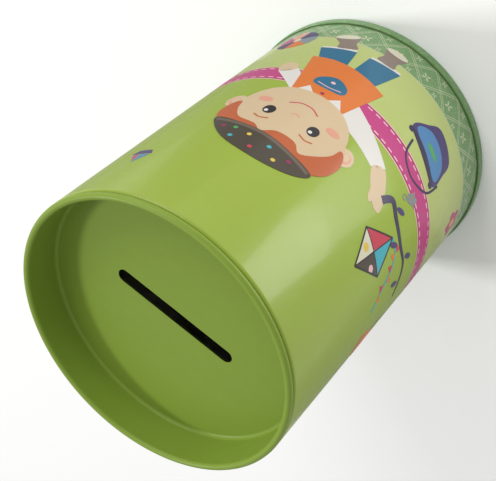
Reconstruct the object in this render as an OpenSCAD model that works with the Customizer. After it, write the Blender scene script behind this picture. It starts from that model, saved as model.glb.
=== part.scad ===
// Round tin money box: a rolled and seamed can body, a double-seamed bottom and
// a deep plug lid with a coin slot. Origin on the base plane, on the can's axis.
// All sizes in millimetres. +Z runs from the base to the lid, -Y is the front.

/* [Can] */
// Outside diameter of the can body
body_d = 80; // [60:1:110]
// Height from the base to the top of the lid's rim
total_h = 114; // [80:1:160]
// Thickness of the tinplate
sheet_t = 0.23; // [0.18:0.01:0.32]

/* [Lid] */
// Depth of the recess from the rim down to the slotted panel
plug_depth = 11.2; // [6:0.1:18]
// Diameter of the lid's curled rim, seen in section
rim_curl_d = 1.9; // [1.5:0.05:2.4]
// Bend radius between the plug's wall and its panel
plug_corner_r = 1.2; // [0.6:0.1:2]
// Radial clearance between the plug's wall and the can's mouth
plug_clearance = 0.08; // [0.05:0.01:0.1]
// Gap between the lid's curl and the can's mouth curl
seat_gap = 0.05; // [0.03:0.01:0.1]

/* [Coin slot] */
// Length of the slot from end to end
slot_l = 36.6; // [28:0.2:42]
// Width of the slot
slot_w = 3.9; // [3:0.1:4]
// How far the lid is turned in the mouth
slot_turn = -10; // [-180:1:180]

/* [Base] */
// Height of the rolled double seam around the base
base_seam_h = 2.6; // [2.2:0.1:4]
// Height of the bottom panel's raised border above the table
border_h = 3.6; // [3:0.1:6]
// Width of the raised border inside the seam
border_w = 5; // [3:0.5:9]
// How far the middle of the bottom steps back down from its border
panel_step = 1; // [0.5:0.1:1.6]

/* [Side seam] */
// Width of the folded side seam
side_seam_w = 3.2; // [2.4:0.1:5]
// Place of the side seam around the can, counted from the front
side_seam_turn = 40; // [-180:1:180]
// Width of the fine groove that the side seam leaves outside
seam_line_w = 0.3; // [0.2:0.05:0.5]
// Depth of that groove
seam_line_depth = 0.08; // [0.05:0.01:0.1]

/* [Hidden] */
$fn = 180;

body_r = body_d / 2;

// Lid, from the rim inwards
plug_in_r = body_r - rim_curl_d;
plug_out_r = plug_in_r + sheet_t;
plug_panel_z = total_h - plug_depth;
rim_curl_z = total_h - rim_curl_d / 2;

// Can mouth: an inward curl that the plug slides through
mouth_r = plug_out_r + plug_clearance;
mouth_curl_d = body_r - mouth_r;
body_top = total_h - rim_curl_d - seat_gap;
mouth_curl_z = body_top - mouth_curl_d / 2;

// Double seam: chuck wall, can wall, end hook, body hook and outer wall, one sheet each
seam_in_r = body_r - 2 * sheet_t;
seam_out_r = body_r + 3 * sheet_t;
seam_bend_r = sheet_t + 0.17;
body_foot_z = sheet_t;
seam_fold_r = 1.5 * sheet_t;
fold_z = base_seam_h - seam_fold_r;
hook_gap = 0.1;
body_hook_top = fold_z - hook_gap;
end_hook_low = body_foot_z + sheet_t + hook_gap;

// Bottom panel: raised border, sloped step, flat middle
border_bend_r = 0.8;
border_in_r = seam_in_r - border_w;
middle_r = border_in_r - panel_step;

// Side seam: three more layers behind the can wall
lock_layers = 3;
lock_low = base_seam_h + 1;
lock_top = body_top - mouth_curl_d - 1;

eps = 0.01;
front_turn = -90;

// Straight run of sheet seen in section, between two radii and two heights
module strip(in_r, out_r, low, high) {
    polygon([[in_r, low], [out_r, low], [out_r, high], [in_r, high]]);
}

// Ring of sheet seen in section, with one quarter left out where a straight wall joins it
module curl_section(outer_d, open_right) {
    difference() {
        circle(d = outer_d);
        circle(d = outer_d - 2 * sheet_t);
        translate([open_right ? 0 : -outer_d, -outer_d]) square(outer_d);
    }
}

// Quarter bend of sheet seen in section, curving from a wall into a panel
module bend_section(outer_r) {
    intersection() {
        difference() {
            circle(r = outer_r);
            circle(r = outer_r - sheet_t);
        }
        square(outer_r + eps);
    }
}

// Block with rounded lower corners, which the seam's folds are cut from
module channel_block(in_r, out_r, low, high, corner_r) {
    translate([in_r + corner_r, low + corner_r]) circle(r = corner_r);
    translate([out_r - corner_r, low + corner_r]) circle(r = corner_r);
    strip(in_r + corner_r, out_r - corner_r, low, low + corner_r);
    strip(in_r, out_r, low + corner_r, high);
}

// Can wall with the mouth's inward curl and the lower edge hooked into the double seam
module body_section() {
    foot_corner = seam_bend_r - sheet_t;
    strip(body_r - sheet_t, body_r, base_seam_h, mouth_curl_z);
    translate([body_r - mouth_curl_d / 2, mouth_curl_z]) curl_section(mouth_curl_d, true);
    difference() {
        channel_block(body_r - sheet_t, body_r + 2 * sheet_t, body_foot_z, base_seam_h, foot_corner);
        strip(body_r, body_r + sheet_t, body_foot_z + sheet_t, base_seam_h + 1);
        strip(body_r + sheet_t - eps, body_r + 3 * sheet_t, body_hook_top, base_seam_h + 1);
    }
}

// Folded layers of the side seam, standing inside the can wall
module side_seam() {
    in_r = body_r - (1 + lock_layers) * sheet_t;
    rotate([0, 0, front_turn + side_seam_turn])
        intersection() {
            translate([0, 0, lock_low])
                difference() {
                    cylinder(r = body_r - sheet_t / 2, h = lock_top - lock_low);
                    translate([0, 0, -eps]) cylinder(r = in_r, h = lock_top - lock_low + 2 * eps);
                }
            translate([0, -side_seam_w / 2, 0]) cube([body_r, side_seam_w, total_h]);
        }
}

// Fine groove along one edge of the side seam, on the outside of the can
module seam_line() {
    low = base_seam_h + seam_line_w;
    high = mouth_curl_z - seam_line_w;
    rotate([0, 0, front_turn + side_seam_turn])
        translate([body_r - seam_line_depth, (side_seam_w - seam_line_w) / 2, low])
            cube([1, seam_line_w, high - low]);
}

module body_shell() {
    color([0.62, 0.72, 0.30])
        difference() {
            union() {
                rotate_extrude() body_section();
                side_seam();
            }
            seam_line();
        }
}

// Outer folds of the double seam, wrapped around the can's hooked edge
module base_seam_section() {
    // channel under the can's edge
    difference() {
        channel_block(seam_in_r, seam_out_r, 0, fold_z, seam_bend_r);
        channel_block(seam_in_r + sheet_t, seam_out_r - sheet_t, sheet_t, base_seam_h,
                      seam_bend_r - sheet_t);
    }
    // fold over the body hook
    translate([body_r + seam_fold_r, fold_z])
        intersection() {
            difference() {
                circle(r = seam_fold_r);
                circle(r = seam_fold_r - sheet_t);
            }
            translate([-seam_fold_r, 0]) square([2 * seam_fold_r, seam_fold_r]);
        }
    // end hook between the can wall and the body hook
    strip(body_r, body_r + sheet_t, end_hook_low, fold_z);
}

// Pressed bottom: chuck wall, raised border, step and flat middle
module bottom_panel_section() {
    bend_z = border_h - border_bend_r;
    strip(seam_in_r, seam_in_r + sheet_t, fold_z, bend_z);
    translate([seam_in_r + sheet_t - border_bend_r, bend_z]) bend_section(border_bend_r);
    polygon([
        [seam_in_r + sheet_t - border_bend_r, border_h],
        [border_in_r, border_h],
        [middle_r, border_h - panel_step],
        [0, border_h - panel_step],
        [0, border_h - panel_step - sheet_t],
        [middle_r, border_h - panel_step - sheet_t],
        [border_in_r, border_h - sheet_t],
        [seam_in_r + sheet_t - border_bend_r, border_h - sheet_t],
    ]);
}

module bottom_end() {
    color([0.45, 0.62, 0.42])
        rotate_extrude() {
            base_seam_section();
            bottom_panel_section();
        }
}

// Plug lid: curled rim, straight wall, bend and flat panel
module lid_section() {
    floor_z = plug_panel_z - sheet_t;
    translate([body_r - rim_curl_d / 2, rim_curl_z]) curl_section(rim_curl_d, false);
    strip(plug_in_r, plug_out_r, floor_z + plug_corner_r, rim_curl_z);
    translate([plug_out_r - plug_corner_r, floor_z + plug_corner_r])
        mirror([0, 1]) bend_section(plug_corner_r);
    strip(0, plug_out_r - plug_corner_r, floor_z, floor_z + sheet_t);
}

// Coin slot with full round ends
module coin_slot() {
    run = slot_l - slot_w;
    rotate([0, 0, slot_turn])
        translate([0, 0, plug_panel_z - 2 * sheet_t]) {
            for (side = [-1, 1]) translate([side * run / 2, 0, 0]) cylinder(d = slot_w, h = 3 * sheet_t);
            translate([-run / 2, -slot_w / 2, 0]) cube([run, slot_w, 3 * sheet_t]);
        }
}

module lid() {
    color([0.50, 0.62, 0.24])
        difference() {
            rotate_extrude() lid_section();
            coin_slot();
        }
}

body_shell();
bottom_end();
lid();
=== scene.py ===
"""Tin money box: printed can body, double-seamed bottom and plug lid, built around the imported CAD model."""
import math

import bmesh
import bpy
from mathutils import Matrix, Vector


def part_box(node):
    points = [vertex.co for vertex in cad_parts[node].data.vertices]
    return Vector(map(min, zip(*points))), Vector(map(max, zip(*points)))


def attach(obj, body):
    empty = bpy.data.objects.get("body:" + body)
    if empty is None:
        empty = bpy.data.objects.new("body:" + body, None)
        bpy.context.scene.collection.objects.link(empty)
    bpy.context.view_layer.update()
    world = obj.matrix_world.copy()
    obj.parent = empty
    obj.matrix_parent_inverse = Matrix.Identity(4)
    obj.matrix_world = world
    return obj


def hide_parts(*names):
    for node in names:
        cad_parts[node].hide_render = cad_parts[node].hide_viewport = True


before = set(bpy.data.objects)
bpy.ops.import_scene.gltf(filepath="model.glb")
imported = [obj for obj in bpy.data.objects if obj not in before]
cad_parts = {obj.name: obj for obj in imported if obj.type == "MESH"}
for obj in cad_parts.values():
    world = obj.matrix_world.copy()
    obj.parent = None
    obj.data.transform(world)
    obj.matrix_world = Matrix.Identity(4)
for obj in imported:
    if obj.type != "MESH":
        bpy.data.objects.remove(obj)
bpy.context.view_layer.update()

MM = 0.001


def placed(name, data):
    """New object with this data, in the scene."""
    thing = bpy.data.objects.new(name, data)
    bpy.context.scene.collection.objects.link(thing)
    return thing


def fill(tree, socket, value):
    """Links the socket to value if that is a socket too, or else sets it."""
    if isinstance(value, bpy.types.NodeSocket):
        tree.links.new(value, socket)
    else:
        socket.default_value = value


def metres(sizes):
    """The same named sizes, from millimetres to metres."""
    return {name: size * MM for name, size in sizes.items()}


# ---------------------------------------------------------------- sizes, in millimetres
def box_mm(node):
    """Lowest and highest corner of a CAD node, in millimetres."""
    low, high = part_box(node)
    return [round(v / MM, 2) for v in low], [round(v / MM, 2) for v in high]


can_low, can_high = box_mm("body_shell")
base_high = box_mm("bottom_end")[1]
lid_low, lid_high = box_mm("lid")

SHEET = can_low[2]
WALL_R = lid_high[0]
TOTAL_H = lid_high[2]
CAN_TOP = can_high[2]
BORDER_H = base_high[2]
PANEL_UNDER = lid_low[2]
PANEL_TOP = PANEL_UNDER + SHEET

# Details that the boxes don't show, as the CAD part has them
RIM_CURL_D = 1.9
PLUG_CORNER_R = 1.2
PLUG_CLEARANCE = 0.08
SLOT_L = 36.6
SLOT_W = 3.9
SLOT_TURN = -10
BASE_SEAM_H = 2.6
BORDER_W = 5
BORDER_BEND_R = 0.8
PANEL_STEP = 1
CHANNEL_CORNER = 0.17
HOOK_GAP = 0.1
SIDE_SEAM_TURN = 40
SIDE_SEAM_W = 3.2
SEAM_LINE_W = 0.3
SEAM_LINE_DEPTH = 0.08

PLUG_IN_R = WALL_R - RIM_CURL_D
PLUG_OUT_R = PLUG_IN_R + SHEET
MOUTH_CURL_D = WALL_R - PLUG_OUT_R - PLUG_CLEARANCE
MOUTH_CURL_Z = CAN_TOP - MOUTH_CURL_D / 2
RIM_CURL_Z = TOTAL_H - RIM_CURL_D / 2
FOLD_Z = BASE_SEAM_H - 1.5 * SHEET
SEAM_R = WALL_R + 3 * SHEET
GIRTH = 2 * math.pi * WALL_R

FRONT = -90
COLUMN_TURN = 1
SUPPORT = 0.25


# ---------------------------------------------------------------- materials
INK_SHARE = 0.765


def ink_rgb(red, green, blue):
    """Linear colour from 0 to 255 values, less what the varnish over it adds by mirroring the room."""
    return tuple(INK_SHARE * ((c / 255 + 0.055) / 1.055) ** 2.4 for c in (red, green, blue)) + (1,)


class Finish:
    """A material under construction: its nodes, its links and its shader."""

    def __init__(self, name, base, roughness, metallic=0.0, coat=0.0, coat_roughness=0.15):
        self.material = bpy.data.materials.new(name)
        self.material.use_nodes = True
        self.tree = self.material.node_tree
        self.shader = self.tree.nodes["Principled BSDF"]
        self.set(Base_Color=base, Roughness=roughness, Metallic=metallic, Specular_IOR_Level=0.25,
                 Coat_Weight=coat, Coat_Roughness=coat_roughness)
        self.place = self.add("ShaderNodeTexCoord").outputs["Object"]

    def add(self, kind, **values):
        """New node; values are its sockets by name, linked or set."""
        node = self.tree.nodes.new(kind)
        for socket, value in values.items():
            fill(self.tree, node.inputs[socket.replace("_", " ")], value)
        return node

    def set(self, **values):
        """Values of the shader's own sockets by name, linked or set."""
        for socket, value in values.items():
            fill(self.tree, self.shader.inputs[socket.replace("_", " ")], value)

    def noise(self, size_mm, detail, stretch=(1, 1, 1)):
        """Noise from 0 to 1 whose blobs are about size_mm across."""
        place = self.add("ShaderNodeMapping", Vector=self.place, Scale=stretch).outputs["Vector"]
        texture = self.add("ShaderNodeTexNoise", Vector=place, Scale=1 / (size_mm * MM), Detail=detail)
        return texture.outputs["Fac"]

    def ramp(self, source, low, high, to_low=0.0, to_high=1.0):
        """Source taken from the range low..high to to_low..to_high, held at both ends."""
        return self.add("ShaderNodeMapRange", Value=source, From_Min=low, From_Max=high, To_Min=to_low,
                        To_Max=to_high).outputs["Result"]

    def mix(self, share, first, second):
        """Mix of two colours; each is a colour or a socket."""
        node = self.tree.nodes.new("ShaderNodeMix")
        node.data_type = "RGBA"
        sockets = {s.identifier: s for s in node.inputs}
        for identifier, value in (("Factor_Float", share), ("A_Color", first), ("B_Color", second)):
            fill(self.tree, sockets[identifier], value)
        return next(s for s in node.outputs if s.identifier == "Result_Color")

    def height(self):
        """Height above the base, in metres."""
        return self.add("ShaderNodeSeparateXYZ", Vector=self.place).outputs["Z"]

    def bump(self, layers):
        """Chain of bumps; each layer is (height socket, depth in millimetres, strength)."""
        below = {}
        for source, depth_mm, strength in layers:
            node = self.add("ShaderNodeBump", Height=source, Strength=strength, Distance=depth_mm * MM,
                            **below)
            below = {"Normal": node.outputs["Normal"]}
        self.set(**below)

    def gloss(self, low, high, size_mm=2.5):
        """Roughness that wanders between two values."""
        self.set(Roughness=self.ramp(self.noise(size_mm, 3.0), 0.3, 0.7, low, high))


def varnished(name, colour):
    """Printing ink under the gloss varnish that covers the whole sheet."""
    finish = Finish(name, colour, 0.34, coat=0.22, coat_roughness=0.12)
    finish.gloss(0.30, 0.40)
    finish.bump([(finish.noise(1.6, 2.0), 0.02, 0.35), (finish.noise(0.16, 1.0), 0.003, 0.35)])
    return finish


# Heights, in metres, between which the wall's ground colour goes over to the next one
GRASS_CHANGE = (0.014, 0.038)
BELT_CHANGE = (0.0405, 0.0415)
SKY_CHANGE = (0.045, 0.112)


def lime_print():
    """Ground of the wall: lime above the belt, paler grass below it, both slightly mottled."""
    finish = varnished("lime print", INK["lime"])
    up = finish.height()
    sky = finish.mix(finish.ramp(up, *SKY_CHANGE), INK["lime"], INK["lime_top"])
    grass = finish.mix(finish.ramp(up, *GRASS_CHANGE), INK["grass_low"], INK["grass"])
    ground = finish.mix(finish.ramp(up, *BELT_CHANGE), grass, sky)
    cloudy = finish.ramp(finish.noise(14, 2.0), 0.35, 0.65, 0.0, 0.10)
    ground = finish.mix(cloudy, ground, INK["lime_deep"])
    speckle = finish.ramp(finish.noise(0.35, 1.0), 0.62, 0.75, 0.0, 0.06)
    finish.set(Base_Color=finish.mix(speckle, ground, INK["white"]))
    return finish.material


def lattice_print():
    """Green ground of the base band and the seam, with fine pale specks printed over it."""
    finish = varnished("lattice print", INK["lattice_green"])
    fine = finish.ramp(finish.noise(0.45, 2.0), 0.54, 0.66, 0.0, 0.42)
    ground = finish.mix(fine, INK["lattice_green"], INK["lattice_line"])
    broad = finish.ramp(finish.noise(2.4, 2.0), 0.4, 0.62, 0.0, 0.35)
    finish.set(Base_Color=finish.mix(broad, ground, INK["lattice_shade"]))
    return finish.material


def bare_tinplate():
    """Unprinted inside of the sheet, with faint rolling lines and dull clouds."""
    finish = Finish("bare tinplate", (0.66, 0.65, 0.61, 1), 0.3, metallic=0.85)
    lines = finish.noise(0.5, 2.0, stretch=(1, 1, 0.02))
    finish.set(Roughness=finish.ramp(finish.noise(12, 1.0), 0.2, 0.8, 0.36, 0.44))
    finish.bump([(lines, 0.006, 0.15)])
    return finish.material


def green_lacquer():
    """Plain stoved lacquer of the lid: satin, with a fine mottle and tiny dust specks."""
    finish = Finish("green lacquer", INK["lacquer"], 0.42, coat=0.06, coat_roughness=0.2)
    mottle = finish.ramp(finish.noise(4.0, 3.0), 0.3, 0.7, 0.0, 0.2)
    colour = finish.mix(mottle, INK["lacquer"], INK["lacquer_deep"])
    specks = finish.ramp(finish.noise(0.3, 0.0), 0.74, 0.8, 0.0, 0.25)
    finish.set(Specular_IOR_Level=0.18, Base_Color=finish.mix(specks, colour, INK["lacquer_dust"]))
    finish.gloss(0.38, 0.5, 4.0)
    finish.bump([(finish.noise(2.2, 2.0), 0.02, 0.2), (finish.noise(0.2, 1.0), 0.004, 0.4)])
    return finish.material


def studio_paper():
    finish = Finish("studio paper", (0.93, 0.93, 0.92, 1), 0.75)
    fibre = finish.noise(0.8, 4.0)
    finish.set(Roughness=finish.ramp(fibre, 0.3, 0.7, 0.7, 0.8))
    finish.bump([(fibre, 0.05, 0.1)])
    return finish.material


INK = {
    "lime": ink_rgb(160, 184, 56),
    "lime_top": ink_rgb(160, 183, 66),
    "lime_deep": ink_rgb(146, 174, 44),
    "grass": ink_rgb(190, 204, 118),
    "grass_low": ink_rgb(198, 210, 132),
    "lacquer": ink_rgb(140, 167, 62),
    "lacquer_deep": ink_rgb(132, 158, 60),
    "lacquer_dust": ink_rgb(90, 112, 40),
    "white": ink_rgb(232, 228, 222),
    "lattice_green": ink_rgb(124, 166, 106),
    # dark green used as painted shade in the crease just above the base seam
    "seam_shadow_green": ink_rgb(56, 96, 52),
    "lattice_shade": ink_rgb(106, 150, 92),
    "lattice_line": ink_rgb(206, 214, 178),
    "pink": ink_rgb(200, 60, 132),
    "deep_pink": ink_rgb(158, 34, 88),
    "pale_pink": ink_rgb(244, 196, 200),
    "orange": ink_rgb(230, 124, 48),
    "blue": ink_rgb(40, 113, 148),
    "mid_blue": ink_rgb(82, 138, 190),
    "grey_blue": ink_rgb(140, 152, 160),
    "purple": ink_rgb(76, 62, 116),
    "dark_purple": ink_rgb(58, 46, 82),
    "skin": ink_rgb(220, 194, 156),
    "blush": ink_rgb(230, 164, 140),
    "hair": ink_rgb(196, 98, 52),
    "brown": ink_rgb(76, 68, 56),
    "light_brown": ink_rgb(112, 98, 84),
    "boot": ink_rgb(144, 128, 118),
    "near_black": ink_rgb(44, 38, 42),
    "red": ink_rgb(206, 62, 84),
    "cyan": ink_rgb(64, 180, 196),
    "green": ink_rgb(84, 170, 96),
    "yellow": ink_rgb(232, 200, 84),
    "cream": ink_rgb(226, 222, 196),
    "grey": ink_rgb(140, 142, 136),
}
ink_materials = {"lattice_green": lattice_print()}


def ink(name):
    """Material of one printing ink, made when it is first used."""
    if name not in ink_materials:
        ink_materials[name] = varnished("ink " + name.replace("_", " "), INK[name]).material
    return ink_materials[name]


# ---------------------------------------------------------------- turned tinplate
def arc(centre, radius, start, end, steps):
    """Points on an arc in the section plane; angles in degrees, both ends included."""
    turns = [math.radians(start + (end - start) * i / steps) for i in range(steps + 1)]
    return [(centre[0] + radius * math.cos(a), centre[1] + radius * math.sin(a)) for a in turns]


def run(start, end):
    """Straight run with a point just inside each end, which keeps the shading of a long face true."""
    length = math.dist(start, end)
    share = SUPPORT / length
    longest_share = 0.4
    if share > longest_share:
        return [start, end]
    near = [start[i] + (end[i] - start[i]) * share for i in (0, 1)]
    far = [end[i] - (end[i] - start[i]) * share for i in (0, 1)]
    return [start, tuple(near), tuple(far), end]


def columns(extra=()):
    """Angles of the turned sheet's columns, in degrees."""
    return sorted(set([float(a) for a in range(-180, 180, COLUMN_TURN)] + list(extra)))


def on_turn(radius, angle, height):
    """Place in metres at a radius, an angle in degrees and a height."""
    turn = math.radians(angle)
    return radius * math.cos(turn) * MM, radius * math.sin(turn) * MM, height * MM


def metal_piece(name, shape, materials, sharp):
    """Smooth piece from a closed shape: faces outwards, edges sharper than the angle kept crisp."""
    bmesh.ops.recalc_face_normals(shape, faces=shape.faces[:])
    mesh = bpy.data.meshes.new(name)
    shape.to_mesh(mesh)
    shape.free()
    for material in materials:
        mesh.materials.append(material)
    mesh.shade_smooth()
    mesh.set_sharp_from_angle(angle=math.radians(sharp))
    return placed(name, mesh)


def turned(name, sections, angles, closed, reach=None):
    """Sheet turned about the can's axis. sections is a list of (points, material), joined end to end.

    reach(radius, height, angle) gives a point's real radius where the sheet isn't round.
    """
    outline = []
    slots = []
    for points, material in sections:
        if material not in slots:
            slots.append(material)
        for point in points:
            if outline and math.dist(outline[-1][0], point) < 1e-6:
                outline.pop()
            outline.append((point, slots.index(material)))
    if closed and math.dist(outline[0][0], outline[-1][0]) < 1e-6:
        outline.pop()
    if closed:
        outline.append(outline[0])
    travel = [0.0]
    for (here, _), (there, _) in zip(outline, outline[1:]):
        travel.append(travel[-1] + math.dist(here, there))
    rings = []
    shape = bmesh.new()
    unwrap = shape.loops.layers.uv.new("OFBake")
    for (radius, height), _ in outline[:-1] if closed else outline:
        if radius < 1e-6:
            rings.append([shape.verts.new((0, 0, height * MM))] * len(angles))
            continue
        ring = []
        for angle in angles:
            real = reach(radius, height, angle) if reach else radius
            ring.append(shape.verts.new(on_turn(real, angle, height)))
        rings.append(ring)
    if closed:
        rings.append(rings[0])
    count = len(angles)
    for i in range(len(rings) - 1):
        for j in range(count):
            k = (j + 1) % count
            corners = [(rings[i][j], j, i), (rings[i][k], j + 1, i), (rings[i + 1][k], j + 1, i + 1),
                       (rings[i + 1][j], j, i + 1)]
            kept = [c for n, c in enumerate(corners) if c[0] is not corners[n - 1][0]]
            face = shape.faces.new([c[0] for c in kept])
            face.material_index = outline[i][1]
            for loop, (_, column, row) in zip(face.loops, kept):
                loop[unwrap].uv = (column / count, travel[row] / travel[-1])
    return metal_piece(name, shape, slots, 38)


SEAM_LINE_TURN = FRONT + SIDE_SEAM_TURN + math.degrees((SIDE_SEAM_W / 2) / WALL_R)
SEAM_LINE_HALF = math.degrees(SEAM_LINE_W / 2 / WALL_R)


def with_seam_line(radius, height, angle):
    """Presses the fine groove of the side seam into the wall's outside."""
    on_wall = radius > WALL_R - SHEET / 2 and BASE_SEAM_H < height < MOUTH_CURL_Z - SUPPORT / 2
    in_line = abs(angle - SEAM_LINE_TURN) < SEAM_LINE_HALF * 0.7
    return radius - SEAM_LINE_DEPTH if on_wall and in_line else radius


def can_body(print_finish, bare_finish):
    """Rolled wall: inward mouth curl above, body hook inside the base seam below."""
    curl = (WALL_R - MOUTH_CURL_D / 2, MOUTH_CURL_Z)
    curl_r = MOUTH_CURL_D / 2
    foot = SHEET + SHEET
    inner = WALL_R - SHEET
    outside = [(WALL_R, foot), (WALL_R, BASE_SEAM_H - SUPPORT), (WALL_R, BASE_SEAM_H + SUPPORT)]
    outside += [(WALL_R, MOUTH_CURL_Z - SUPPORT), (WALL_R, MOUTH_CURL_Z)] + arc(curl, curl_r, 0, 270, 30)
    hook_out = WALL_R + 2 * SHEET
    corner = CHANNEL_CORNER
    inside = arc(curl, curl_r - SHEET, 270, 0, 24)
    inside += run((inner, MOUTH_CURL_Z), (inner, SHEET + corner))
    inside += arc((inner + corner, SHEET + corner), corner, 180, 270, 5)
    inside += arc((hook_out - corner, SHEET + corner), corner, 270, 360, 5)
    inside += [(hook_out, FOLD_Z - HOOK_GAP), (WALL_R + SHEET, FOLD_Z - HOOK_GAP),
               (WALL_R + SHEET, foot), (WALL_R, foot)]
    edges = [SEAM_LINE_TURN + side * SEAM_LINE_HALF * share for side in (-1, 1) for share in (1, 0.6)]
    return turned("can_body", [(outside, print_finish), (inside, bare_finish)], columns(edges), True,
                  with_seam_line)


def seam_lock(bare_finish):
    """The side seam's folded strip, three sheets thick, behind the wall."""
    middle = FRONT + SIDE_SEAM_TURN
    half = math.degrees(SIDE_SEAM_W / 2 / WALL_R)
    low, high = BORDER_H + 0.2, MOUTH_CURL_Z - MOUTH_CURL_D / 2 - 1
    bevel = 0.12
    outer, inner = WALL_R - SHEET / 2, WALL_R - SHEET - 3 * SHEET
    shape = bmesh.new()
    rings = []
    for height, draw in ((low, bevel), (low + bevel, 0), (high - bevel, 0), (high, bevel)):
        corners = [(-half, outer), (half, outer)] + [(half - half * i / 3, inner + draw) for i in range(7)]
        rings.append([shape.verts.new(on_turn(radius, middle + turn, height)) for turn, radius in corners])
    for lower, upper in zip(rings, rings[1:]):
        for i in range(len(lower)):
            k = (i + 1) % len(lower)
            shape.faces.new((lower[i], lower[k], upper[k], upper[i]))
    shape.faces.new(rings[0][::-1])
    shape.faces.new(rings[-1])
    return metal_piece("side_seam_lock", shape, [bare_finish], 30)


def bottom_end(print_finish, bare_finish):
    """Pressed bottom, from its middle inside the can, round the double seam, back to its middle below."""
    inner = WALL_R - SHEET
    chuck = WALL_R - 2 * SHEET
    bend = (inner - BORDER_BEND_R, BORDER_H - BORDER_BEND_R)
    border_in = chuck - BORDER_W
    middle = border_in - PANEL_STEP
    corner = CHANNEL_CORNER
    fold = (WALL_R + 1.5 * SHEET, FOLD_Z)
    outer_corner = corner + SHEET
    hook_low = 2 * SHEET + HOOK_GAP

    def step(top):
        """Rounded step between the raised border and the flat middle."""
        reach = border_in - middle + 0.6
        shares = [i / 10 for i in range(11)]
        return [(border_in + 0.3 - reach * s, top - PANEL_STEP * (1 - math.cos(math.pi * s)) / 2)
                for s in shares]

    inside = [(0, BORDER_H - PANEL_STEP)] + step(BORDER_H)[::-1]
    inside += arc(bend, BORDER_BEND_R, 90, 0, 8)
    inside += run((inner, bend[1]), (inner, SHEET + corner))
    inside += arc((inner + corner, SHEET + corner), corner, 180, 270, 5)
    inside += arc((SEAM_R - SHEET - corner, SHEET + corner), corner, 270, 360, 5)
    inside += arc(fold, SHEET / 2, 0, 180, 8)
    inside += [(WALL_R + SHEET, hook_low), (WALL_R, hook_low), (WALL_R, FOLD_Z)]
    outside = arc(fold, 1.5 * SHEET, 180, 0, 14)
    outside += run((SEAM_R, FOLD_Z), (SEAM_R, outer_corner))
    outside += arc((SEAM_R - outer_corner, outer_corner), outer_corner, 0, -90, 6)
    under = arc((chuck + outer_corner, outer_corner), outer_corner, 270, 180, 6)
    under += run((chuck, outer_corner), (chuck, bend[1]))
    under += arc(bend, BORDER_BEND_R - SHEET, 0, 90, 6)
    under += step(BORDER_H - SHEET) + [(0, BORDER_H - PANEL_STEP - SHEET)]
    return turned("bottom_end", [(inside, bare_finish), (outside, print_finish), (under, bare_finish)],
                  columns(), False)


def slot_edge(angle):
    """Distance from the lid's axis to the slot's edge, along one direction."""
    turn = math.radians(angle - SLOT_TURN)
    along, across = abs(math.cos(turn)), abs(math.sin(turn))
    half = SLOT_W / 2
    centre = SLOT_L / 2 - half
    rounding = 0.999999
    if across * centre < half * along * rounding:
        inside = half ** 2 - (centre * across) ** 2
        if inside > 0:
            reach = centre * along + math.sqrt(inside)
            if reach * across <= half and reach * along >= centre:
                return reach
    return half / across


def plug_lid(finish):
    """Plug lid: sunken panel with the coin slot, plug wall and the rolled rim."""
    bend = (PLUG_OUT_R - PLUG_CORNER_R, PANEL_UNDER + PLUG_CORNER_R)
    rim = (WALL_R - RIM_CURL_D / 2, RIM_CURL_Z)
    rim_r = RIM_CURL_D / 2
    flat_r = bend[0] - SUPPORT
    edge_round = 0.07
    slot_ring = 1.0
    beside_slot = 0.05

    def with_slot(radius, height, angle):
        """Rings of the panel go over from the slot's outline to the round."""
        if radius >= flat_r:
            return radius
        share = (radius - slot_ring) / (flat_r - slot_ring)
        edge = slot_edge(angle)
        if share < beside_slot:
            return edge + (radius - slot_ring)
        return edge + share * (flat_r - edge)

    def flat(height):
        spread = [slot_ring + (flat_r - slot_ring) * s for s in (0.15, 0.35, 0.6, 0.85)]
        return [(slot_ring + edge_round, height), (slot_ring + 0.4, height)] + [
            (radius, height) for radius in spread + [flat_r]] + [(bend[0], height)]

    top = [(slot_ring, PANEL_TOP - edge_round), (slot_ring + 0.02, PANEL_TOP - 0.02)] + flat(PANEL_TOP)
    top += arc(bend, PLUG_CORNER_R - SHEET, -90, 0, 8)
    top += run((PLUG_IN_R, bend[1]), (PLUG_IN_R, RIM_CURL_Z))
    top += arc(rim, rim_r, 180, -90, 36) + arc(rim, rim_r - SHEET, -90, 180, 30)
    top += run((PLUG_OUT_R, RIM_CURL_Z), (PLUG_OUT_R, bend[1]))
    top += arc(bend, PLUG_CORNER_R, 0, -90, 8)
    top += flat(PANEL_UNDER)[::-1]
    top += [(slot_ring, PANEL_UNDER + edge_round), top[0]]
    # closer columns towards the slot's two round ends
    near_ends = [SLOT_TURN + side + half_degree / 2 for side in (0, 180, -180)
                 for half_degree in range(-16, 17)]
    ends = [a for a in near_ends if -180 <= a < 180]
    return turned("lid_plug", [(top, finish)], columns(ends), True, with_slot)


# ---------------------------------------------------------------- flat shapes of the print
# Every shape is drawn on the unrolled wall in millimetres: x to the right of the front's middle, z up.
def oval(x, z, half_w, half_h=None, turn=0.0, start=0, end=360):
    """Ellipse, or a slice of one, turned about its centre."""
    half_h = half_w if half_h is None else half_h
    steps = max(10, min(56, int(18 + 5 * max(half_w, half_h))))
    whole = end - start >= 360
    swing = math.radians(turn)
    points = [] if whole else [(x, z)]
    for i in range(steps if whole else steps + 1):
        angle = math.radians(start + (end - start) * i / steps)
        across, up = half_w * math.cos(angle), half_h * math.sin(angle)
        points.append((x + across * math.cos(swing) - up * math.sin(swing),
                       z + across * math.sin(swing) + up * math.cos(swing)))
    return points


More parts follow.
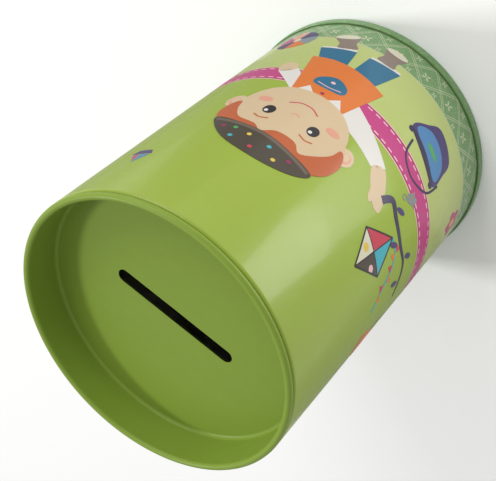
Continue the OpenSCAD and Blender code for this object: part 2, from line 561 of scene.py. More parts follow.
def through(points, steps=6, closed=True):
    """Smooth line through the given points."""
    count = len(points)
    line = []
    spans = count if closed else count - 1
    for i in range(spans):
        if closed:
            p = [points[(i + k) % count] for k in (-1, 0, 1, 2)]
        else:
            p = [points[min(max(i + k, 0), count - 1)] for k in (-1, 0, 1, 2)]
        for step in range(steps):
            t = step / steps
            line.append(tuple(0.5 * (2 * p[1][n] + (p[2][n] - p[0][n]) * t
                                     + (2 * p[0][n] - 5 * p[1][n] + 4 * p[2][n] - p[3][n]) * t * t
                                     + (3 * p[1][n] - p[0][n] - 3 * p[2][n] + p[3][n]) * t ** 3)
                              for n in (0, 1)))
    if not closed:
        line.append(tuple(points[-1]))
    return line


def line_of(points, width, end_width=None, smooth=True):
    """Outline of a brush line along the points, which may taper."""
    path = through(points, 6, False) if smooth else points
    end_width = width if end_width is None else end_width
    left, right = [], []
    for i, (x, z) in enumerate(path):
        before, after = path[max(i - 1, 0)], path[min(i + 1, len(path) - 1)]
        length = math.dist(before, after)
        across = (-(after[1] - before[1]) / length, (after[0] - before[0]) / length)
        half = (width + (end_width - width) * i / (len(path) - 1)) / 2
        left.append((x + across[0] * half, z + across[1] * half))
        right.append((x - across[0] * half, z - across[1] * half))
    return left + right[::-1]


def moved(points, dx, dz, size, turn=0.0):
    """Shape enlarged and turned about its origin, then moved."""
    c, s = math.cos(math.radians(turn)) * size, math.sin(math.radians(turn)) * size
    return [(dx + x * c - z * s, dz + x * s + z * c) for x, z in points]


def bar(x0, z0, x1, z1):
    return [(x0, z0), (x1, z0), (x1, z1), (x0, z1)]


def set_at(shapes, x, z, size=1.0, turn=0.0):
    """Picture drawn about its own origin, enlarged, turned and moved to its place on the wall."""
    return [(shape_ink, layer, moved(outline, x, z, size, turn)) for shape_ink, layer, outline in shapes]


# ---------------------------------------------------------------- geometry trees that wrap the print
class Shaper:
    """A geometry tree under construction, with named inputs."""

    def __init__(self, name, sizes, counts=()):
        self.tree = bpy.data.node_groups.new(name, "GeometryNodeTree")
        face = self.tree.interface
        face.new_socket("Flat Shapes", in_out="INPUT", socket_type="NodeSocketGeometry")
        for size in tuple(sizes) + ("Wall Radius", "Sunk"):
            face.new_socket(size, in_out="INPUT", socket_type="NodeSocketFloat")
        for count in counts:
            face.new_socket(count, in_out="INPUT", socket_type="NodeSocketInt")
        face.new_socket("Ink", in_out="INPUT", socket_type="NodeSocketMaterial")
        face.new_socket("Print", in_out="OUTPUT", socket_type="NodeSocketGeometry")
        self.given = self.tree.nodes.new("NodeGroupInput").outputs

    def add(self, kind, settings=None, **values):
        """New node; settings are its own properties, values its sockets by name, linked or set."""
        node = self.tree.nodes.new(kind)
        for key, value in (settings or {}).items():
            setattr(node, key, value)
        for key, value in values.items():
            fill(self.tree, node.inputs[key.replace("_", " ")], value)
        return node

    def sum(self, operation, first, second=0.0):
        """One step of arithmetic."""
        node = self.tree.nodes.new("ShaderNodeMath")
        node.operation = operation
        for socket, value in zip(node.inputs, (first, second)):
            fill(self.tree, socket, value)
        return node.outputs[0]

    def vector(self, x=0.0, y=0.0, z=0.0):
        return self.add("ShaderNodeCombineXYZ", X=x, Y=y, Z=z).outputs[0]

    def place(self):
        """Outputs x, y and z of each point's place."""
        return self.add("ShaderNodeSeparateXYZ",
                        Vector=self.add("GeometryNodeInputPosition").outputs[0]).outputs

    def together(self, *parts):
        """Several geometries as one."""
        node = self.tree.nodes.new("GeometryNodeJoinGeometry")
        for part in parts:
            self.tree.links.new(part, node.inputs[0])
        return node.outputs[0]

    def row(self, thing, height):
        """The thing over and over along a level line, a pitch apart."""
        line = self.add("GeometryNodeMeshLine", Count=self.given["Count"],
                        Start_Location=self.vector(self.given["Start"], self.given[height]),
                        Offset=self.vector(self.given["Pitch"])).outputs[0]
        return self.add("GeometryNodeInstanceOnPoints", Points=line, Instance=thing).outputs[0]

    def real(self, instances):
        return self.add("GeometryNodeRealizeInstances", Geometry=instances).outputs[0]

    def wrap(self, flat, lift):
        """Gives flat shapes their ink's thickness, closes them and rolls them round the wall."""
        out = self.vector(z=1.0)
        sunk = self.given["Sunk"]
        thickness = self.sum("ADD", lift, sunk)
        raised = self.add("GeometryNodeExtrudeMesh", Mesh=flat, Offset=out, Offset_Scale=thickness,
                          Individual=False).outputs["Mesh"]
        under = self.add("GeometryNodeFlipFaces", Mesh=flat).outputs[0]
        whole = self.add("GeometryNodeMergeByDistance", Geometry=self.together(raised, under),
                         Distance=1e-7).outputs[0]
        place = self.place()
        radius = self.given["Wall Radius"]
        turn = self.sum("DIVIDE", place[0], radius)
        reach = self.sum("ADD", self.sum("SUBTRACT", radius, sunk), place[2])
        rolled = self.vector(self.sum("MULTIPLY", reach, self.sum("SINE", turn)),
                             self.sum("MULTIPLY", self.sum("MULTIPLY", reach, -1.0),
                                      self.sum("COSINE", turn)), place[1])
        bent = self.add("GeometryNodeSetPosition", Geometry=whole, Position=rolled).outputs[0]
        inked = self.add("GeometryNodeSetMaterial", Geometry=self.real(bent),
                         Material=self.given["Ink"]).outputs[0]
        self.tree.links.new(inked, self.tree.nodes.new("NodeGroupOutput").inputs[0])
        return self.tree


def wrap_tree():
    """Print shapes that are drawn one by one; each face carries its own lift."""
    shaper = Shaper("wrap_on_wall", ())
    lift = shaper.add("GeometryNodeInputNamedAttribute", {"data_type": "FLOAT"}, Name="lift")
    return shaper.wrap(shaper.given["Flat Shapes"], lift.outputs[0])


def stitch_tree():
    """Two rows of short stitches all round, one row near each edge of the belt."""
    shaper = Shaper("belt_stitches", ("Pitch", "Length", "Width", "Low Row", "High Row", "Start", "Lift"),
                    ("Count",))
    given = shaper.given
    stitch = shaper.add("GeometryNodeMeshGrid", Size_X=given["Length"], Size_Y=given["Width"],
                        Vertices_X=3, Vertices_Y=2).outputs["Mesh"]
    rows = shaper.together(shaper.row(stitch, "Low Row"), shaper.row(stitch, "High Row"))
    return shaper.wrap(shaper.real(rows), given["Lift"])


def lattice_tree():
    """Crossing double lines of the base band, leaning one way and the other."""
    shaper = Shaper("lattice_lines", ("Pitch", "Rise", "Slope", "Crossing Height", "Line Width",
                                      "Line Gap", "Start", "Lift", "Cross Lift"), ("Count",))
    given = shaper.given
    strip = shaper.add("GeometryNodeMeshGrid", Size_X=given["Line Width"], Size_Y=given["Rise"],
                       Vertices_X=2, Vertices_Y=10).outputs["Mesh"]
    place = shaper.place()
    bands = []
    for lean in (1.0, -1.0):
        for side in (0.5, -0.5):
            push = shaper.sum("MULTIPLY", shaper.sum("MULTIPLY", place[1], given["Slope"]), lean)
            push = shaper.sum("ADD", push, shaper.sum("MULTIPLY", given["Line Gap"], side))
            lift = shaper.sum("MULTIPLY", given["Cross Lift"], 1.0 if lean > 0 else 0.0)
            leant = shaper.add("GeometryNodeSetPosition", Geometry=strip,
                               Offset=shaper.vector(push, 0.0, lift)).outputs[0]
            bands.append(shaper.row(leant, "Crossing Height"))
    return shaper.wrap(shaper.real(shaper.together(*bands)), given["Lift"])


def flower_tree():
    """Rows of small four-petalled flowers, each petal an oval, in the lattice's cells."""
    shaper = Shaper("lattice_flowers", ("Pitch", "Petal Length", "Petal Width", "Petal Reach", "Height",
                                        "Start", "Lift"), ("Count", "Petals"))
    given = shaper.given
    disc = shaper.add("GeometryNodeMeshCircle", {"fill_type": "NGON"}, Vertices=10, Radius=0.5).outputs[0]
    size = shaper.vector(given["Petal Length"], given["Petal Width"], 1.0)
    petal = shaper.add("GeometryNodeTransform", Geometry=disc, Scale=size,
                       Translation=shaper.vector(given["Petal Reach"])).outputs[0]
    hub = shaper.add("GeometryNodeMeshLine", Count=given["Petals"], Offset=shaper.vector()).outputs[0]
    number = shaper.add("GeometryNodeInputIndex").outputs[0]
    step = shaper.sum("DIVIDE", 2 * math.pi, given["Petals"])
    turn = shaper.vector(z=shaper.sum("MULTIPLY", shaper.sum("ADD", number, 0.5), step))
    ring = shaper.add("GeometryNodeInstanceOnPoints", Points=hub, Instance=petal, Rotation=turn).outputs[0]
    flowers = shaper.row(shaper.real(ring), "Height")
    return shaper.wrap(shaper.real(flowers), given["Lift"])


def grown(tree, values, flat=None):
    """Mesh that a geometry tree makes from the given inputs."""
    base = placed("flat_print", flat or bpy.data.meshes.new("flat_print"))
    modifier = base.modifiers.new("print", "NODES")
    modifier.node_group = tree
    for item in tree.interface.items_tree:
        if item.item_type == "SOCKET" and item.in_out == "INPUT" and item.name in values:
            modifier[item.identifier] = values[item.name]
    base.update_tag()
    bpy.context.view_layer.update()
    seen = base.evaluated_get(bpy.context.evaluated_depsgraph_get())
    mesh = bpy.data.meshes.new_from_object(seen)
    base.modifiers.remove(modifier)
    bpy.data.objects.remove(base)
    return mesh


SEAM_LINE_X = (SEAM_LINE_TURN - FRONT) * math.pi / 180 * WALL_R
PRINT_SUNK = 0.03
LIFT_LOW = 0.012
LIFT_STEP = 0.014
ON_WALL = metres({"Wall Radius": WALL_R, "Sunk": PRINT_SUNK})


def flat_mesh(shapes):
    """Flat faces for (layer, outline) shapes, cut into narrow columns and parted at the side seam's line."""
    step = GIRTH / 180
    drawing = bmesh.new()
    lift = drawing.faces.layers.float.new("lift")
    for layer, outline in shapes:
        known = set(drawing.faces)
        face = drawing.faces.new([drawing.verts.new((x * MM, z * MM, 0)) for x, z in outline])
        face.normal_update()
        if face.normal.z < 0:
            face.normal_flip()
        bmesh.ops.triangulate(drawing, faces=[face])
        for new in set(drawing.faces) - known:
            new[lift] = (LIFT_LOW + LIFT_STEP * layer) * MM
    left = min(v.co.x for v in drawing.verts) / MM
    right = max(v.co.x for v in drawing.verts) / MM
    cuts = [step * i for i in range(math.floor(left / step), math.ceil(right / step) + 1)]
    gaps = []
    for lap in (-1, 0, 1):
        middle = SEAM_LINE_X + lap * GIRTH
        gaps.append((middle - SEAM_LINE_W / 2, middle + SEAM_LINE_W / 2))
    cuts += [edge for gap in gaps for edge in gap]
    for cut in cuts:
        if left < cut < right:
            parts = drawing.verts[:] + drawing.edges[:] + drawing.faces[:]
            bmesh.ops.bisect_plane(drawing, geom=parts, plane_co=(cut * MM, 0, 0), plane_no=(1, 0, 0),
                                   dist=1e-7)
    over = [f for f in drawing.faces
            if any(a < f.calc_center_median().x / MM < b for a, b in gaps)]
    bmesh.ops.delete(drawing, geom=over, context="FACES")
    mesh = bpy.data.meshes.new("flat_print")
    drawing.to_mesh(mesh)
    drawing.free()
    return mesh


def round_shading(mesh):
    """Faces along the wall shade as the wall does; edges of the ink stay crisp."""
    normals = []
    for face in mesh.polygons:
        middle = Vector((face.center.x, face.center.y, 0)).normalized()
        facing = face.normal.dot(middle)
        for corner in face.vertices:
            place = mesh.vertices[corner].co
            if abs(facing) > 0.5:
                normals.append(Vector((place.x, place.y, 0)).normalized() * (1 if facing > 0 else -1))
            else:
                normals.append(face.normal.copy())
    mesh.normals_split_custom_set(normals)


def one_piece(name, meshes):
    """Joins meshes into one printed piece that rides on the can."""
    whole = bmesh.new()
    materials = []
    for mesh in meshes:
        count = len(whole.faces)
        whole.from_mesh(mesh)
        whole.faces.ensure_lookup_table()
        for material in mesh.materials:
            if material and material not in materials:
                materials.append(material)
        for face in whole.faces[count:]:
            face.material_index = materials.index(mesh.materials[face.material_index])
            face.smooth = True
    joined = bpy.data.meshes.new(name)
    whole.to_mesh(joined)
    whole.free()
    for material in materials:
        joined.materials.append(material)
    if "lift" in joined.attributes:
        joined.attributes.remove(joined.attributes["lift"])
    round_shading(joined)
    piece = placed(name, joined)
    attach(piece, "can")


def printed(name, shapes):
    """Piece of print from (ink, layer, outline) shapes."""
    by_ink = {}
    for ink_name, layer, outline in shapes:
        by_ink.setdefault(ink_name, []).append((layer, outline))
    one_piece(name, [grown(WRAP, ON_WALL | {"Ink": ink(ink_name)}, flat_mesh(parts))
                     for ink_name, parts in by_ink.items()])


# ---------------------------------------------------------------- the print
WRAP = wrap_tree()

BELT_LOW = 37.4
BELT_HIGH = 44.9
GRASS_TOP = 13.6
BAND_START = SEAM_LINE_X + SEAM_LINE_W / 2 - GIRTH
BAND_END = SEAM_LINE_X - SEAM_LINE_W / 2


def all_round(low, high):
    """Band from one side of the seam's line to the other."""
    return bar(BAND_START, low, BAND_END, high)


def belt():
    """Ribbon printed all round: pale halo, pink ground and a darker line inside each edge."""
    shapes = [("pink", 1, all_round(BELT_LOW, BELT_HIGH))]
    for edge, inwards in ((BELT_LOW, 1), (BELT_HIGH, -1)):
        for belt_ink, layer, near, far in (("pale_pink", 0, -0.35, 0), ("deep_pink", 2, 0.1, 0.38)):
            low, high = sorted((edge + near * inwards, edge + far * inwards))
            shapes.append((belt_ink, layer, all_round(low, high)))
    printed("print_belt", shapes)


def belt_stitches():
    count = 88
    pitch = GIRTH / count
    sizes = {"Pitch": pitch, "Length": 1.65, "Width": 0.48, "Low Row": 38.35, "High Row": 43.95,
             "Start": BAND_START + pitch / 2, "Lift": LIFT_LOW + 2 * LIFT_STEP}
    values = ON_WALL | metres(sizes) | {"Count": count, "Ink": ink("pale_pink")}
    one_piece("print_belt_stitches", [grown(stitch_tree(), values)])


LATTICE_COUNT = 24
LATTICE_PITCH = GIRTH / LATTICE_COUNT
CROSSING_HIGH = 9.0
CROSSING_LOW = 3.6


def lattice():
    """Green ground of the base band with its crossing double lines and small flowers."""
    printed("print_lattice_ground", [
        ("lattice_green", 0, all_round(BASE_SEAM_H + 0.25, GRASS_TOP)),
        # thin dark line painted just above the base seam: painted shade of the crease between the seam and
        # the wall
        ("seam_shadow_green", 1, all_round(BASE_SEAM_H + 0.02, BASE_SEAM_H + 0.42)),
        ("lattice_line", 1, all_round(GRASS_TOP - 0.3, GRASS_TOP))])
    low, high = BASE_SEAM_H + 0.45, GRASS_TOP - 0.05
    middle = (low + high) / 2
    slope = (LATTICE_PITCH / 2) / (CROSSING_HIGH - CROSSING_LOW)
    shared = ON_WALL | {"Ink": ink("lattice_line"), "Count": LATTICE_COUNT, "Pitch": LATTICE_PITCH * MM}
    lines = {"Rise": high - low, "Crossing Height": middle, "Line Width": 0.26, "Line Gap": 0.95,
             "Start": (middle - CROSSING_HIGH) * slope, "Lift": LIFT_LOW + LIFT_STEP, "Cross Lift": 0.006}
    one_piece("print_lattice_lines", [grown(lattice_tree(), shared | metres(lines) | {"Slope": slope})])
    tree = flower_tree()
    rows = []
    for start, height, size in ((LATTICE_PITCH / 2, CROSSING_HIGH, 1.0), (0, CROSSING_HIGH + 3.1, 0.62),
                                (0, CROSSING_LOW + 1.0, 0.7)):
        petals = {"Petal Length": 1.5 * size, "Petal Width": 0.62 * size, "Petal Reach": 0.95 * size,
                  "Height": height, "Start": start, "Lift": LIFT_LOW + 1.5 * LIFT_STEP}
        rows.append(grown(tree, shared | metres(petals) | {"Petals": 4}))
    one_piece("print_lattice_flowers", rows)


def child_clothes():
    """Boots, trousers, white shirt and orange pinafore of the printed child."""
    shapes = []
    for middle, tilt, lift in ((9.0, 24, 1.6), (-5.2, -4, 0.0)):
        boot = [(-2.9, 5.2), (2.6, 5.2), (2.3, 2.0), (3.4, -1.6), (0, -2.9), (-3.6, -1.8), (-2.5, 2.0)]
        shapes += [
            ("boot", 3, through(moved(boot, middle, 11.9 + lift, 1.0, tilt), 4)),
            ("cream", 4, moved(oval(0, -2.3, 3.6, 1.35), middle, 11.9 + lift, 1.0, tilt))]
    right_hand = [(15.9, 39.6), (12.9, 37.4), (13.6, 34.2), (16.4, 33.4), (18.2, 35.6), (17.6, 38.4)]
    left_hand = [(-22.9, 54.2), (-25.9, 50.6), (-29.2, 53.6), (-32.2, 58.2), (-33.0, 61.6), (-30.6, 62.4),
                 (-26.6, 59.6)]
    pinafore = [(-7.4, 50.2), (7.6, 50.0), (12.7, 27.6), (6.4, 26.9), (0.6, 27.2), (-5.4, 28.4),
                (-11.5, 30.2)]
    pocket = [(-3.8, 41.4), (0.6, 42.2), (5.0, 41.4), (4.9, 37.9), (0.6, 35.3), (-3.7, 37.9)]
    shapes += [
        ("white", 3, [(13.7, 21.2), (3.5, 18.6), (3.9, 17.6), (13.2, 20.2)]),
        ("white", 3, [(-0.6, 18.5), (-10.5, 17.6), (-10.0, 16.6), (-0.9, 17.5)]),
        ("blue", 4, [(2.0, 28.8), (10.6, 28.4), (13.7, 21.2), (3.5, 18.6)]),
        ("blue", 4, [(-7.8, 29.8), (-0.1, 28.8), (-0.6, 18.5), (-10.5, 17.6)]),
        ("white", 3, [(7.2, 49.4), (17.0, 39.6), (12.4, 36.4), (8.4, 41.4)]),
        ("skin", 3, through(right_hand, 5)),
        ("white", 3, [(-6.2, 50.2), (-9.2, 40.8), (-26.1, 50.2), (-22.6, 54.6)]),
        ("skin", 3, through(left_hand, 5)),
        ("skin", 4, oval(-28.0, 60.8, 1.0, 2.3, 20)),
        ("orange", 5, pinafore),
        ("blue", 6, through(pocket, 5)),
        ("pale_pink", 7, line_of([(-3.0, 40.4), (0.6, 41.1), (4.2, 40.4)], 0.32)),
        ("deep_pink", 6, oval(0.3, 44.9, 0.6)),
        ("pale_pink", 7, oval(0.6, 38.2, 0.7, 0.6))]
    for side in (1, -1):
        shapes.append(("white", 6, [(0.2 * side, 49.0), (8.6 * side, 50.8), (4.7 * side, 43.6)]))
    return shapes


def child_head():
    """Plain cheerful head of the child: round face, ginger hair and a brown spotted cap."""
    shapes = []
    for side in (1, -1):
        shapes += [
            ("skin", 5, oval(16.9 * side + 0.4, 60.6, 2.7, 3.5)),
            ("blush", 6, oval(17.4 * side + 0.4, 60.6, 1.4, 2.1)),
            ("skin", 7, oval(17.2 * side + 0.4, 60.4, 1.0, 1.6))]
    face = [(0.6, 46.2), (8.0, 47.6), (13.6, 52.4), (16.0, 60.0), (14.8, 68.0), (9.0, 74.0), (0.0, 76.0),
            (-8.4, 74.6), (-13.8, 69.4), (-15.4, 61.0), (-13.0, 52.8), (-7.2, 47.8)]
    hair = [(16.2, 71.4), (18.2, 66.4), (17.2, 61.6), (15.4, 60.4), (14.4, 64.2), (11.6, 68.4), (6.4, 69.4),
            (3.6, 71.2), (0.2, 68.6), (-5.2, 68.8), (-8.0, 71.4), (-11.4, 68.2), (-13.9, 64.0),
            (-14.7, 60.0), (-16.6, 61.4), (-17.6, 66.4), (-15.4, 73.0), (-8.0, 78.0), (7.0, 78.4)]
    cap = [(16.8, 70.8), (9.0, 70.9), (1.0, 71.4), (-7.0, 73.0), (-14.2, 74.8), (-10.4, 79.6), (-2.6, 82.0),
           (6.6, 80.8), (13.0, 76.8)]
    brim = [(16.2, 71.7), (9.0, 71.7), (1.0, 72.2), (-6.8, 73.8), (-13.2, 75.2)]
    shapes += [
        ("skin", 7, through(face, 6)),
        ("hair", 8, through(hair, 5)),
        ("brown", 9, through(cap, 6)),
        ("light_brown", 10, line_of(brim, 1.1))]
    spots = ((12.2, 74.4, "deep_pink"), (8.2, 77.8, "cyan"), (4.6, 74.6, "yellow"), (1.8, 79.0, "red"),
             (-1.8, 75.6, "cyan"), (-5.0, 79.0, "yellow"), (-8.0, 76.2, "deep_pink"), (9.0, 73.8, "green"))
    for x, z, spot_ink in spots:
        shapes.append((spot_ink, 10, oval(x, z, 0.62)))
    for side in (1, -1):
        brow = [(4.6 * side + 0.3, 65.2), (6.8 * side + 0.3, 66.0), (8.8 * side + 0.3, 65.2)]
        shapes += [
            ("near_black", 8, oval(6.6 * side + 0.3, 61.2, 1.65, 2.15)),
            ("white", 9, oval(6.6 * side + 0.8, 62.0, 0.55, 0.65)),
            ("hair", 8, line_of(brow, 0.5)),
            ("blush", 8, oval(10.2 * side + 0.3, 56.8, 2.1, 1.4))]
    smile = [(-4.0, 55.0), (-1.8, 53.4), (0.3, 53.0), (2.4, 53.4), (4.6, 55.0)]
    shapes += [
        ("blush", 8, line_of([(-0.9, 59.3), (0.3, 58.6), (1.5, 59.3)], 0.5)),
        ("red", 8, line_of(smile, 0.42))]
    return shapes


def pail():
    """Toy pail with a blue band and a leaf, hanging from the branch's end."""
    handle = [(-25.6, 32.6), (-27.2, 39.2), (-33.2, 41.6), (-39.8, 37.4), (-41.4, 30.4)]
    cup = [(-8.3, 5.4), (8.3, 5.4), (7.2, -2.4), (4.4, -7.0), (-4.4, -7.0), (-7.2, -2.4)]
    band = [(-7.2, 4.0), (7.2, 4.0), (5.8, -1.6), (0, -3.4), (-5.8, -1.6)]
    upright = [
        ("purple", 4, through(cup, 6)),
        ("mid_blue", 5, through(band, 6)),
        ("green", 6, oval(0, 1.0, 3.0, 1.0, 8)),
        ("dark_purple", 7, oval(0, 5.4, 8.6, 1.1))]
    for end in (-8.2, 8.2):
        upright.append(("dark_purple", 8, oval(end, 6.0, 1.0)))
    return [("dark_purple", 3, line_of(handle, 0.75))] + set_at(upright, -32.6, 26.4, turn=-14)


def little_bell():
    """Small grey bell that hangs beside the branch, tilted."""
    dome = [(-2.4, -1.8), (-1.7, -0.8), (-1.3, 1.4), (0, 2.3), (1.3, 1.4), (1.7, -0.8), (2.4, -1.8)]
    loop = [(0, 2.0), (-0.8, 3.2), (0, 4.1), (0.8, 3.2), (0, 2.0)]
    upright = [
        ("grey", 4, dome),
        ("grey_blue", 3, oval(0, -2.1, 0.8)),
        ("grey_blue", 5, line_of([(-0.7, -0.6), (-0.4, 1.2)], 0.4, smooth=False)),
        ("grey", 3, line_of(loop, 0.4))]
    return set_at(upright, -37.6, 45.4, turn=-38)


def kite():
    """Diamond kite in four colours, with a bowed tail, over a purple branch."""
    corners = [(-38.6, 78.6), (-33.2, 68.4), (-41.6, 59.0), (-47.0, 69.6)]
    top, right, bottom, left = corners
    middle = (-39.8, 69.0)
    edges = list(zip(corners, corners[1:] + corners[:1]))
    shapes = [(kite_ink, 3, [middle, start, end])
              for (start, end), kite_ink in zip(edges, ("cream", "red", "cyan", "brown"))]
    for start, end in ((top, bottom), (left, right)):
        shapes.append(("near_black", 4, line_of([start, end], 0.36, smooth=False)))
    for start, end in edges:
        shapes.append(("near_black", 5, line_of([start, end], 0.5, smooth=False)))
    tail = [(-41.6, 59.0), (-45.6, 58.6), (-49.6, 61.6), (-52.6, 67.2), (-56.4, 72.6)]
    shapes += [
        ("yellow", 4, oval(-37.2, 71.6, 1.2)),
        ("pale_pink", 4, oval(-43.2, 72.2, 1.1)),
        ("cyan", 3, line_of(tail, 0.7))]
    for x, z, turn in ((-46.2, 58.8, 20), (-50.4, 62.8, 70), (-53.2, 68.4, 60)):
        for side, bow_ink in ((1, "orange"), (-1, "red")):
            bow = [(0, 0), (2.2 * side, 1.2), (2.2 * side, -1.2)]
            shapes.append((bow_ink, 4, moved(bow, x, z, 1.0, turn + 90)))
    branch = [(-31.2, 57.8), (-33.6, 53.6), (-38.4, 55.0), (-46.0, 55.6), (-53.0, 54.6), (-61.0, 58.2)]
    shapes.append(("dark_purple", 5, line_of(branch, 2.3, 0.7)))
    for x, z, turn in ((-36.4, 52.8, 215), (-44.6, 57.6, 60), (-50.4, 53.2, 240), (-56.4, 57.8, 70)):
        shapes.append(("purple", 6, moved(oval(1.7, 0, 1.9, 0.85), x, z, 1.0, turn)))
    return shapes


def beach_ball(x, z, radius, turn):
    shapes = []
    for i, wedge_ink in enumerate(("purple", "orange", "grey_blue", "purple", "blush", "pink")):
        shapes.append((wedge_ink, 3, oval(x, z, radius, radius, turn, i * 60, i * 60 + 60)))
    return shapes + [("cream", 4, oval(x, z, radius * 0.2))]


def little_boat(x, z):
    return set_at([("purple", 3, [(-3.3, 0), (3.3, 0), (2.1, -2.0), (-2.2, -2.0)]),
                   ("mid_blue", 3, [(-0.1, 0.3), (-0.1, 4.6), (-2.9, 0.5)]),
                   ("pink", 3, [(0.4, 0.4), (0.4, 3.6), (2.4, 0.6)])], x, z)


def flower(x, z, size, petal_ink, stem):
    bent = [(x, z), (x - 0.8, z - stem / 2), (x, z - stem)]
    shapes = [("green", 3, line_of(bent, 0.5))]
    for turn in range(90, 450, 72):
        away = math.radians(turn)
        middle = (x + 1.6 * size * math.cos(away), z + 1.6 * size * math.sin(away))
        shapes.append((petal_ink, 4, oval(*middle, 1.35 * size, 1.05 * size, turn)))
    return shapes + [("yellow", 5, oval(x, z, 0.95 * size))]


def balloon(x, z, balloon_ink, size, hang):
    knot_z = z - 6.0 * size
    string = [(x, knot_z), (x + 1.2, knot_z - hang / 2), (x, knot_z - hang)]
    skin = [(0, 5.4), (4.4, 2.0), (3.2, -3.0), (0, -5.8), (-3.2, -3.0), (-4.4, 2.0)]
    knot = [(0, -5.5), (1.1, -6.9), (-1.1, -6.9)]
    return [("near_black", 3, line_of(string, 0.3)),
            (balloon_ink, 4, through(moved(skin, x, z, size))),
            (balloon_ink, 4, moved(knot, x, z, size)),
            ("cream", 5, oval(x - 1.7 * size, z + 2.2 * size, 0.6 * size, 1.3 * size, -25))]


def cloud(x, z, size):
    puffs = ((-5.0, 0, 2.6), (-1.6, 1.8, 3.6), (3.0, 1.0, 3.0), (5.8, -0.4, 2.0))
    shapes = [("white", layer, oval(x + a * size, z + b * size, r * size))
              for layer, (a, b, r) in enumerate(puffs, 3)]
    return shapes + [("white", 7, bar(x - 5.0 * size, z - 2.5 * size, x + 5.9 * size, z))]


def cottage():
    """Cottage with a red chimney, and an apple tree beside it."""
    shapes = [("cream", 3, bar(-139, 45.4, -121, 58.0)),
              ("orange", 4, [(-141.6, 57.4), (-118.4, 57.4), (-130, 69.4)]),
              ("brown", 4, bar(-132.6, 45.4, -127.4, 53.6)),
              ("yellow", 5, oval(-128.4, 49.4, 0.5)),
              ("red", 3, bar(-124.8, 60.0, -122.2, 67.6))]
    for x in (-137.2, -126.0):
        shapes += [
            ("mid_blue", 4, bar(x, 49.6, x + 3.4, 53.8)),
            ("white", 5, bar(x + 1.5, 49.6, x + 1.9, 53.8)),
            ("white", 6, bar(x, 51.5, x + 3.4, 51.9))]
    shapes.append(("brown", 3, [(-155.4, 45.3), (-152.0, 45.3), (-152.8, 57), (-154.4, 57)]))
    for x, z, radius, layer in ((-157.2, 59.6, 4.6, 8), (-150.2, 59.6, 4.6, 8), (-153.6, 65.2, 5.4, 9)):
        shapes.append(("green", layer, oval(x, z, radius)))
    for x, z in ((-158.2, 60.4), (-150.6, 61.6), (-154.8, 67.0), (-151.4, 57.4)):
        shapes.append(("red", 10, oval(x, z, 0.9)))
    return shapes


def sun(x, z):
    shapes = [("yellow", 4, oval(x, z, 4.6))]
    for i in range(12):
        shapes.append(("orange", 3, moved([(5.5, -0.8), (8.2, 0), (5.5, 0.8)], x, z, 1.0, 30 * i)))
    return shapes


def butterfly(x, z, size, turn):
    shapes = []
    for side in (1, -1):
        wing = [(side * a, b) for a, b in ((0.3, 0.4), (3.6, 3.6), (4.8, 1.6), (0.3, -0.4))]
        tail = [(side * a, b) for a, b in ((0.3, -0.2), (3.6, -1.0), (2.8, -3.4), (0.3, -1.2))]
        shapes += [
            ("pink", 3, through(wing)),
            ("purple", 4, through(tail)),
            ("pale_pink", 5, oval(side * 3.2, 1.9, 0.8))]
    shapes.append(("near_black", 6, oval(0, -0.2, 0.45, 2.6)))
    return set_at(shapes, x, z, size, turn)


def pictures():
    printed("print_child_clothes", child_clothes())
    printed("print_child_head", child_head())
    printed("print_pail", pail())
    printed("print_little_bell", little_bell())
    printed("print_kite", kite())
    printed("print_beach_ball", beach_ball(25.3, 15.0, 6.4, 20))
    printed("print_little_boat", little_boat(24.8, 92.4))
    garden = []
    for x, z, size, petal_ink in ((-60.0, 14.6, 1.5, "pink"), (-78.0, 20.0, 1.3, "orange"),
                                  (-92.0, 17.4, 1.0, "purple"), (-106.0, 21.0, 1.4, "pink"),
                                  (-148.0, 18.6, 1.2, "orange"), (-166.0, 21.4, 1.4, "red"),
                                  (-181.0, 17.6, 1.0, "purple")):
        garden += flower(x, z + 4, size, petal_ink, 7.0)
    printed("print_garden_flowers", garden)
    printed("print_balloons", balloon(-67.4, 73.0, "orange", 0.9, 7) + balloon(-92.0, 82.0, "red", 1.1, 14)
            + balloon(-101.0, 75.0, "mid_blue", 1.0, 9) + balloon(-84.6, 73.6, "purple", 0.95, 10))
    printed("print_clouds", cloud(-122.0, 92.0, 1.25) + cloud(-186.0, 86.0, 0.95))
    printed("print_cottage", cottage())
    printed("print_sun", sun(-162.0, 92.0))
    printed("print_butterflies", butterfly(-174.0, 64.0, 1.1, 24) + butterfly(-110.0, 60.0, 0.8, -18))
    printed("print_ball_behind", beach_ball(-126.0, 22.4, 6.8, 50))


def seam_specks():
    """Pale specks of the lattice print that wrap on over the base seam's outer wall."""
    tree = flower_tree()
    girth = 2 * math.pi * SEAM_R
    rows = []
    for count, height, length, width in ((142, 0.72, 0.95, 0.34), (104, 1.16, 0.60, 0.44),
                                         (126, 1.62, 1.00, 0.32), (90, 2.06, 0.55, 0.36)):
        sizes = {"Pitch": girth / count, "Petal Length": length, "Petal Width": width, "Petal Reach": 0.0,
                 "Height": height, "Start": 0.4, "Lift": LIFT_LOW, "Wall Radius": SEAM_R - 0.02,
                 "Sunk": PRINT_SUNK}
        rows.append(grown(tree, metres(sizes) | {"Count": count, "Petals": 1, "Ink": ink("lattice_line")}))
    one_piece("print_seam_specks", rows)


# ---------------------------------------------------------------- assembly
bare = bare_tinplate()
body = can_body(lime_print(), bare)
lock = seam_lock(bare)
base = bottom_end(ink("lattice_green"), bare)
lid = plug_lid(green_lacquer())
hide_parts("body_shell")
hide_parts("bottom_end")
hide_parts("lid")
for piece, rider, slot in ((body, "can", "printed_body"), (lock, "can", "printed_body"),
                           (base, "can", "printed_base"), (lid, "lid", "lacquered_lid")):
    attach(piece, rider)

belt()
belt_stitches()
lattice()
seam_specks()
pictures()


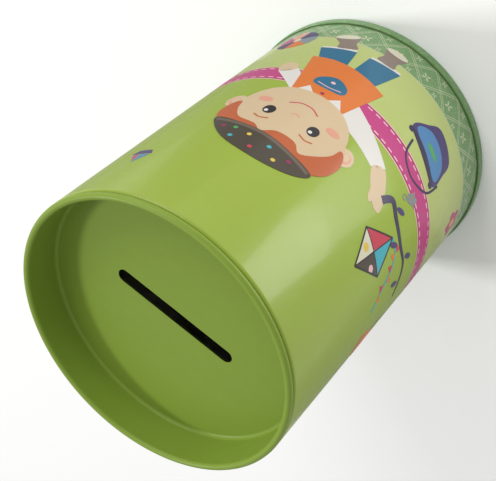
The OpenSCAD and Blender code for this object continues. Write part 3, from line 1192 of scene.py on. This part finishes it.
# ---------------------------------------------------------------- camera, floor and light
CAMERA_PLACE = Vector((-82.32, -190.06, 265.71)) * MM
CAMERA_AIM = Vector((1.199, -0.528, 66.245)) * MM
CAMERA_ROLL = -132.81
LENS = 75.98
FLOOR_HALF = 6.0
LIGHT_AIM = Vector((0, 0, 0.055))
SHADE_CARD_GREY = (0.36, 0.36, 0.36, 1)
SHADE_CARD_LIFT = 0.0005


def studio_camera():
    data = bpy.data.cameras.new("camera")
    data.lens = LENS
    data.sensor_width = 36
    data.clip_start = 0.01
    camera = placed("camera", data)
    look = (CAMERA_AIM - CAMERA_PLACE).to_track_quat("-Z", "Y").to_matrix().to_4x4()
    roll = Matrix.Rotation(math.radians(CAMERA_ROLL), 4, "Z")
    camera.matrix_world = Matrix.Translation(CAMERA_PLACE) @ look @ roll
    bpy.context.scene.camera = camera


def stage_card(name, corners, material):
    """Flat four-cornered sheet for the studio, such as the floor or a grey card."""
    mesh = bpy.data.meshes.new(name)
    mesh.from_pydata(corners, [], [(0, 1, 2, 3)])
    mesh.materials.append(material)
    card = placed(name, mesh)
    return card


def floor():
    corners = [(x * FLOOR_HALF, y * FLOOR_HALF, 0) for x, y in ((-1, -1), (1, -1), (1, 1), (-1, 1))]
    stage_card("studio_floor", corners, studio_paper())


def panel_light(name, azimuth, elevation, distance, size, power):
    """Soft rectangular light aimed at the can; its azimuth is 0 in front and negative towards -X."""
    data = bpy.data.lights.new(name, "AREA")
    data.shape = "RECTANGLE"
    data.size, data.size_y = size
    data.energy = power
    light = placed(name, data)
    turn, rise = math.radians(azimuth), math.radians(elevation)
    away = Vector((math.sin(turn) * math.cos(rise), -math.cos(turn) * math.cos(rise), math.sin(rise)))
    place = LIGHT_AIM + away * distance
    look = (-away).to_track_quat("-Z", "Y").to_matrix().to_4x4()
    light.matrix_world = Matrix.Translation(place) @ look
    light.visible_camera = False
    return light


def floor_card(name, azimuth, near, far, width, power):
    """Bright panel that lies beside the can and shows as a soft streak in the wall's varnish."""
    turn = math.radians(azimuth)
    middle = WALL_R * MM + (near + far) / 2
    card = panel_light(name, azimuth, 0, 0.1, (width, far - near), power)
    spot = Vector((math.sin(turn) * middle, -math.cos(turn) * middle, 0.003))
    card.matrix_world = (Matrix.Translation(spot) @ Matrix.Rotation(turn, 4, "Z")
                         @ Matrix.Rotation(math.pi, 4, "X"))


def shade_card(name, azimuth, near, far, width):
    """Grey card on the floor that only the varnish mirrors: it keeps the can's outline from paling."""
    turn = math.radians(azimuth)
    out = Vector((math.sin(turn), -math.cos(turn), 0))
    across = Vector((-out.y, out.x, 0)) * width / 2
    low, high = [out * (WALL_R * MM + gap) + Vector((0, 0, SHADE_CARD_LIFT)) for gap in (near, far)]
    card = stage_card(name, [low - across, high - across, high + across, low + across],
                      Finish("grey card", SHADE_CARD_GREY, 0.9).material)
    card.visible_camera = False
    card.visible_diffuse = False
    card.visible_shadow = False


def studio_light():
    world = bpy.data.worlds.new("studio")
    bpy.context.scene.world = world
    world.use_nodes = True
    sky = world.node_tree.nodes["Background"].inputs
    sky["Color"].default_value = (1, 1, 1, 1)
    sky["Strength"].default_value = 0.59
    panel_light("key", 36, 26, distance=0.9, size=(0.5, 0.5), power=3.9)
    panel_light("overhead", 114, 52, distance=1.5, size=(0.2, 0.2), power=8.4)
    floor_card("streak", -43, near=0.070, far=0.135, width=0.075, power=0.088)
    floor_card("streak_end", -43, near=0.035, far=0.070, width=0.060, power=0.016)
    shade_card("shade_right", 98, near=0.003, far=0.150, width=0.110)
    shade_card("shade_back", -140, near=0.003, far=0.150, width=0.110)
    shade_card("shade_front", 42, near=0.003, far=0.130, width=0.080)


studio_camera()
floor()
studio_light()
bpy.context.scene.view_settings.view_transform = "Standard"
